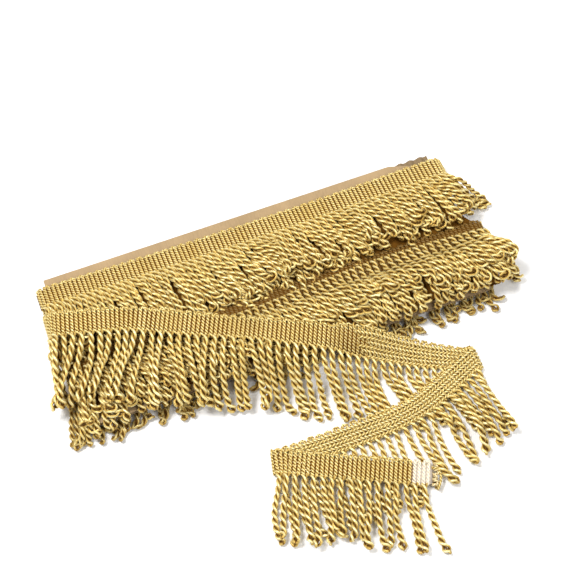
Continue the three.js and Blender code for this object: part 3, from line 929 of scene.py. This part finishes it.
class FRINGE_OT_yarns(bpy.types.Operator):
    """Makes the yarn, paper and floor materials, the node trees and the ribbons to work on"""

    bl_idname = "fringe.yarns"
    bl_label = "Yarns and ribbons"

    def execute(self, context):
        colours = context.scene.fringe_colours
        filaments = filament_group()
        for key, name, looks in YARNS:
            Maker.material[key] = yarn_material(name, filaments, colours, **looks)
        Maker.material["kraft"] = kraft_material("Kraft paper", colours, 0.0)
        Maker.material["flute"] = kraft_material("Fluted paper", colours, 0.35)
        Maker.material["floor"] = floor_material("Pale floor", colours)
        Maker.cord = cord_tree()
        loose, marks = band_from_runs(node_tree_of("loose_header"))
        Maker.marks = marks
        Maker.stretches = {
            "a": (0, marks["a"] + RUNS["a"]["length"]),
            "b": (marks["b"], marks["b"] + RUNS["b"]["length"]),
            "c": (marks["c"], loose.length),
        }
        Maker.bands = {"loose": loose}
        offset = LIFT + BAND / 2
        for name, course in COURSES.items():
            sunk, bow = course["sunk"], course["bow"]
            Maker.bands[name + "_top"] = wound_band(course["top"], 1, offset - sunk, bow=bow)
            Maker.bands[name + "_under"] = wound_band(course["under"], -1, offset)
        Maker.ground = Ground(WINDING)
        return {"FINISHED"}


# ---- pieces


def strand_guides(
    band, places, rng, ground, headings, curl, wave, length=STRAND, firmness=0.8, fall=52.0, roofs=(),
    share=WHOLE, vary=0.035, inset=AT_EDGE, lift=0.0, sink=0.0, turns=1.0,
):
    """Strands side by side along a band, laid one after the other."""
    guides = []
    for i, u in enumerate(places):
        low = band.point(u, 1.0)
        root = band.point(u, 1.0 - table_at(inset, low[0]) / HEADER, lift)
        down = low - band.point(u, 0.8)
        first = math.degrees(math.atan2(down[1], down[0]))
        bend = curl * rng.normal()
        reach = length * (1 + rng.normal(0, vary)) * table_at(share, low[0])
        end = headings(i, u, low[0])
        line = walk(ground, root, first, end, reach, fall, bend, roofs, wave * rng.normal(), sink)
        line[:, 2] = np.maximum(line[:, 2], STRAND_FLOOR)
        ground.lay_strand(line[4:], firmness)
        guides.append({
            "points": line,
            "side": band.along(u) + UP * 0.35,
            "turns": turns + rng.normal(0, 0.05),
            "tone": rng.normal(0, 0.6),
        })
    return guides


def clumps(rng, count, slow, quick):
    """Uneven headings, alike for neighbours, so that strands bunch."""
    knots = rng.normal(0, slow, count // 4 + 3)
    wavy = np.interp(np.arange(count) / 4.0, np.arange(len(knots)), knots)
    return wavy + rng.normal(0, quick, count)


def grow_cords(name, guides, material, replaced=(), rib=False, sides=6, step=None, slim=1.0):
    """A piece of twisted cords along these guides."""
    sizes = bpy.context.scene.fringe_sizes
    values = dict(RIB_CORD if rib else STRAND_CORD)
    values.update({
        "Ply radius": (sizes.rib if rib else sizes.ply) * slim,
        "Twist length": sizes.rib_twist if rib else sizes.twist,
        "Step": step or values["Step"],
        "Sides": sides,
        "Material": Maker.material[material],
    })
    piece = grow(name, guide_mesh(name + "_guides", guides), Maker.cord, values)
    finish_piece(piece, replaced)
    return piece


class FRINGE_OT_card(bpy.types.Operator):
    """Corrugated kraft card, its far right corner crushed open"""

    bl_idname = "fringe.card"
    bl_label = "Kraft card"

    def execute(self, context):
        length, width, thick = CARD_SIZE
        liner = 0.35
        cut = length / 2 - 26.0  # from here on the corner is torn off
        steps = 48

        def liner_rings(base, corner):
            points = []
            for i in range(steps + 1):
                x = -length / 2 + length * i / steps
                far = width / 2
                if corner and x > cut:
                    far -= (x - cut) * 0.42 + 0.8 * math.sin(2.1 * x)
                corners = ((-width / 2, base), (far, base), (far, base + liner), (-width / 2, base + liner))
                points += [(x, y, z) for y, z in corners]
            return points

        lower = liner_rings(CARD_BASE, False)
        upper = liner_rings(CARD_BASE + thick - liner, True)
        faces = bar_faces(steps + 1) + bar_faces(steps + 1, len(lower))
        board = mesh_piece("kraft_card", lower + upper, faces, "kraft", smooth=False)
        finish_piece(board, ["card"])

        flutes, per_flute, half = 38, 8, 0.14
        count = flutes * per_flute
        swing = thick / 2 - liner - 0.18
        edge = width / 2 - 0.2
        points = []
        for i in range(count + 1):
            x = -length / 2 + 0.3 + (length - 0.6) * i / count
            z = CARD_BASE + thick / 2 + swing * math.sin(2 * math.pi * i / per_flute)
            corners = ((-edge, -half), (edge, -half), (edge, half), (-edge, half))
            points += [(x, y, z + h) for y, h in corners]
        medium = mesh_piece("card_fluting", points, bar_faces(count + 1), "flute", smooth=False)
        finish_piece(medium)
        return {"FINISHED"}


class FRINGE_OT_winding(bpy.types.Operator):
    """The inner layers: a body of yarn and the headers that show at its sides"""

    bl_idname = "fringe.winding"
    bl_label = "Inner layers"

    def execute(self, context):
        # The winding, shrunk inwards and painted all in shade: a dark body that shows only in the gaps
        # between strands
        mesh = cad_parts["winding"].data.copy()
        mesh.materials.clear()
        mesh.materials.append(Maker.material["core"])
        clean(mesh, INWARD)
        mesh.name = "inner_layers"
        finish_piece(link("inner_layers", mesh), ["winding"])

        rng = np.random.default_rng(11)
        guides = []
        top, base, depths = INNER
        for start in (COURSES["far"]["top"] - 0.6, COURSES["near"]["top"] + 1.0):
            for depth in depths:
                high, low = top - depth, base + depth
                sides = []
                if high > CARD_BASE + CARD_SIZE[2] + 1.0:
                    sides.append((1, (high + 1.0, low)))
                if low < CARD_BASE - 1.0:
                    sides.append((-1, (high, low + 1.0)))
                for side, level in sides:
                    band = wound_band(start, side, BAND / 2 - 1.0, past=0.5, level=level)
                    guides += hairpins(band, rng)
        grow_cords("inner_headers", guides, "rib", rib=True, sides=4, step=0.0013)
        return {"FINISHED"}


def ribbon(name, band, margin, bleach=None):
    """The thin ground of a header, inside its ribs."""
    # The ground is painted all in shade: a dark sheet that shows only in the slits between the ribs
    first, last = margin, band.length - margin
    inset, half = 0.06, 0.25
    places = np.arange(first, last, 1.5)
    corners = ((inset, -half), (1 - inset, -half), (1 - inset, half), (inset, half))
    points = np.array([band.point(u, v, w) for u in places for v, w in corners])
    piece = mesh_piece(name, points, bar_faces(len(places)), "ground")
    if bleach is not None:
        spots = np.array([vertex.co for vertex in piece.data.vertices])
        away = np.linalg.norm(spots - to_metres(band.point(last, 0.5)), axis=1) / MM
        attribute = piece.data.attributes.new("bleach", "FLOAT", "POINT")
        attribute.data.foreach_set("value", bleach(band.length - away, 0.5) * 0.6)
    finish_piece(piece)


class Flat:
    """A bare table, for the rows that the winding rests on."""

    @staticmethod
    def support(spot):
        return 0.0

    @staticmethod
    def under(spot, names):
        return 1e3

    @staticmethod
    def lay_strand(points, firmness):
        return None


class FRINGE_OT_bundle(bpy.types.Operator):
    """The wound courses: their headers and rows of strands"""

    bl_idname = "fringe.bundle"
    bl_label = "Wound courses"

    def execute(self, context):
        rng = np.random.default_rng(5)
        for name, stretch in Maker.stretches.items():
            Maker.ground.note_roof(name, Maker.bands["loose"], *stretch)

        for name, course in COURSES.items():
            band = Maker.bands[name + "_under"]
            edge, pitch, length = course["under_rows"]
            inside = np.arange(edge, band.length - edge, PITCH * pitch)
            uneven = clumps(rng, len(inside), 10, 6)
            guides = strand_guides(
                band, inside, rng, Flat, lambda i, u, x: -100 + uneven[i],
                length=length, curl=60.0, wave=10.0,
            )
            replaced = [name + "_under_fringe"]
            # The strands under the card take the yarn partly in painted shade
            grow_cords(name + "_under_strands", guides, "under", replaced, sides=4, slim=SLIM)
            ribs = hairpins(band, rng)
            grow_cords(name + "_under_header", ribs, "rib", rib=True, sides=4, step=0.0009)

        for name, course in COURSES.items():
            band = Maker.bands[name + "_top"]
            Maker.ground.lay_band(band, 0, band.length)
            Maker.ground.swell(*course["swell"])
            strands = []
            for layer in LAYERS:
                strands += self.lay_layer(course, band, layer, rng)
            replaced = [name + "_top_fringe"]
            piece = grow_cords(name + "_strands", strands, "yarn", replaced, sides=5, slim=SLIM)
            header = grow_cords(name + "_header", hairpins(band, rng), course["ribs"], rib=True, sides=5)
            ribbon(name + "_ground", band, 1.0)
        return {"FINISHED"}

    @staticmethod
    def lay_layer(course, band, layer, rng):
        """One layer of strands on a course."""
        inside = np.arange(7.0, band.length - 3.0, PITCH * 0.86)
        uneven = clumps(rng, len(inside), layer["slow"] * course["bunched"], layer["quick"])
        fan_from, fan = course["fan"]

        def heading(i, u, x):
            right = smooth_step(x, fan_from, FAN_END) ** 2
            left = 1 - smooth_step(x, *LEFT_FAN[:2])
            return -90 + course["lean"] + fan * right - LEFT_FAN[2] * left + uneven[i]

        outer = layer is LAYERS[-1]
        return strand_guides(
            band, inside + PITCH * layer["shift"], rng, Maker.ground, heading,
            firmness=layer["firmness"], curl=layer["curl"], sink=layer["sink"], roofs=("a", "b", "c"),
            wave=6.0, vary=0.055, turns=1.02, length=course["strand"], share=course["reach"],
            inset=course["roots"] if outer else AT_EDGE, lift=course["raised"] if outer else 0.0,
        )


class FRINGE_OT_loose_end(bpy.types.Operator):
    """The loose end: one ribbon of header, folded twice, with its strands"""

    bl_idname = "fringe.loose_end"
    bl_label = "Loose end"

    def execute(self, context):
        ground, band, marks = Maker.ground, Maker.bands["loose"], Maker.marks
        rng = np.random.default_rng(23)

        for name, run in RUNS.items():
            start, last = Maker.stretches[name]
            ground.lay_band(band, start, last)
            places = np.arange(2.0 if name == "a" else start + 1.5, last - 1.5, PITCH)
            uneven = clumps(rng, len(places), *run["uneven"])
            guides = strand_guides(
                band, places, rng, ground,
                lambda i, u, x: table_at(run["strands"], u - marks[name]) + uneven[i],
                length=run["strand"], curl=22.0, roofs=run["roofs"], wave=4.5, fall=42.0, firmness=0.7,
                share=run["share"],
            )
            replaced = ["loose_fringe_" + name]
            grow_cords("loose_strands_" + name, guides, "yarn", replaced, slim=run["slim"])

        def bleach(along, across):
            return smooth_step(along, band.length - 15.0, band.length - 11.5) * 0.72

        ribs = hairpins(band, rng, bleach, loop=0.15, margin=0.3)
        ribs += chain_rows(band, marks["b"] - PAST_FOLD, marks["c"] + PAST_FOLD, rng)
        ribs += chain_rows(
            band, marks["a"] + ROWS_FROM, Maker.stretches["a"][1] - 0.5, rng, depth=0.75, ragged=9.0,
        )
        ribs += frayed_end(band, rng)
        header = grow_cords("loose_header_ribs", ribs, "rib", ["loose_header"], rib=True, sides=5)
        ribbon("loose_ground", band, 0.5, bleach)
        return {"FINISHED"}


def aim(name, data, target, away, distance=1.0):
    """A light or camera this way and distance from the target, looking at it."""
    thing = link(name, data)
    thing.location = target + away * distance
    thing.rotation_euler = (-away).to_track_quat("-Z", "Y").to_euler()
    return thing


class FRINGE_OT_stage(bpy.types.Operator):
    """Pale floor, soft lights and the camera"""

    bl_idname = "fringe.stage"
    bl_label = "Floor, lights and camera"

    def execute(self, context):
        scene = context.scene
        mesh = bpy.data.meshes.new("floor")
        half = 6.0
        corners = [(-half, -half, 0), (half, -half, 0), (half, half, 0), (-half, half, 0)]
        mesh.from_pydata(corners, [], [(0, 1, 2, 3)])
        mesh.materials.append(Maker.material["floor"])
        link("floor", mesh)

        world = bpy.data.worlds.new("Studio")
        world.use_nodes = True
        back = next(node for node in world.node_tree.nodes if node.type == "BACKGROUND")
        back.inputs["Color"].default_value = (1.0, 1.0, 1.0, 1.0)
        back.inputs["Strength"].default_value = 0.48
        scene.world = world

        target = Vector(to_metres([14.65, -3.12, 0.0]))
        for name, place, size, power in LIGHTS:
            data = bpy.data.lights.new(name, "AREA")
            data.shape = "DISK"
            data.size = size
            data.energy = power
            aim(name, data, target, Vector(place))

        elevation, turn, distance = math.radians(64.0), math.radians(20.7), 1.05
        level = math.cos(elevation)
        away = Vector((-math.sin(turn) * level, -math.cos(turn) * level, math.sin(elevation)))
        width, focal, pixels = 36.0, 1622.0, 580.0
        lens = bpy.data.cameras.new("Camera")
        lens.sensor_width = width
        lens.lens = width * focal / pixels
        scene.camera = aim("Camera", lens, target, away, distance)
        scene.view_settings.view_transform = "Standard"
        return {"FINISHED"}


class FRINGE_PT_panel(bpy.types.Panel):
    """Lists the steps that build the trim"""

    bl_label = "Bullion fringe"
    bl_idname = "FRINGE_PT_panel"
    bl_space_type = "VIEW_3D"
    bl_region_type = "UI"
    bl_category = "Fringe"

    def draw(self, context):
        for group in (context.scene.fringe_sizes, context.scene.fringe_colours):
            for key in group.bl_rna.properties.keys():
                if key not in {"rna_type", "name"}:
                    self.layout.prop(group, key)
        for step in STEPS:
            self.layout.operator(step.bl_idname)


STEPS = (
    FRINGE_OT_yarns,
    FRINGE_OT_card,
    FRINGE_OT_winding,
    FRINGE_OT_bundle,
    FRINGE_OT_loose_end,
    FRINGE_OT_stage,
)
CLASSES = (FringeSizes, FringeColours, *STEPS, FRINGE_PT_panel)


def register():
    for each in CLASSES:
        bpy.utils.register_class(each)
    bpy.types.Scene.fringe_sizes = PointerProperty(type=FringeSizes)
    bpy.types.Scene.fringe_colours = PointerProperty(type=FringeColours)


def unregister():
    del bpy.types.Scene.fringe_colours
    del bpy.types.Scene.fringe_sizes
    for each in reversed(CLASSES):
        bpy.utils.unregister_class(each)


def main():
    register()
    bpy.ops.fringe.yarns()
    bpy.ops.fringe.card()
    bpy.ops.fringe.winding()
    bpy.ops.fringe.bundle()
    bpy.ops.fringe.loose_end()
    bpy.ops.fringe.stage()


if __name__ == "__main__":
    main()
